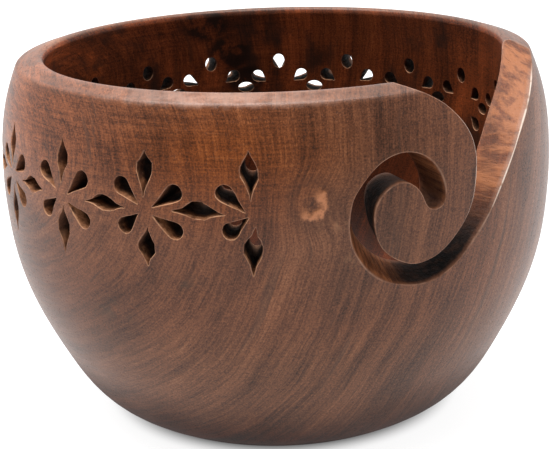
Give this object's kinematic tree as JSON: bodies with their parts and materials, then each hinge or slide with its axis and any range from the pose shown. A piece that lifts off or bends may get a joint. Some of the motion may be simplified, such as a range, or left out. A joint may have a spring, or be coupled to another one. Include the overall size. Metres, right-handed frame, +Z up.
{
  "type": "yarn bowl",
  "caption": "Turned wooden bowl that keeps a ball of yarn from rolling, with a spiral hook cut in its wall that guides the strand and a pierced band of flowers.",
  "frame": {"origin": "centre of the flat base, on the surface it rests on", "axes": "+Z up along the turning axis, out of the mouth; -Y is the side between the first flowers and the hook; the hook is 13 to 90 degrees from -Y towards +X"},
  "size_m": [0.152, 0.152, 0.101],
  "materials": {
    "rosewood": "satin"
  },
  "bodies": {
    "root": {"bowl": "rosewood"}
  },
  "joints": []
}
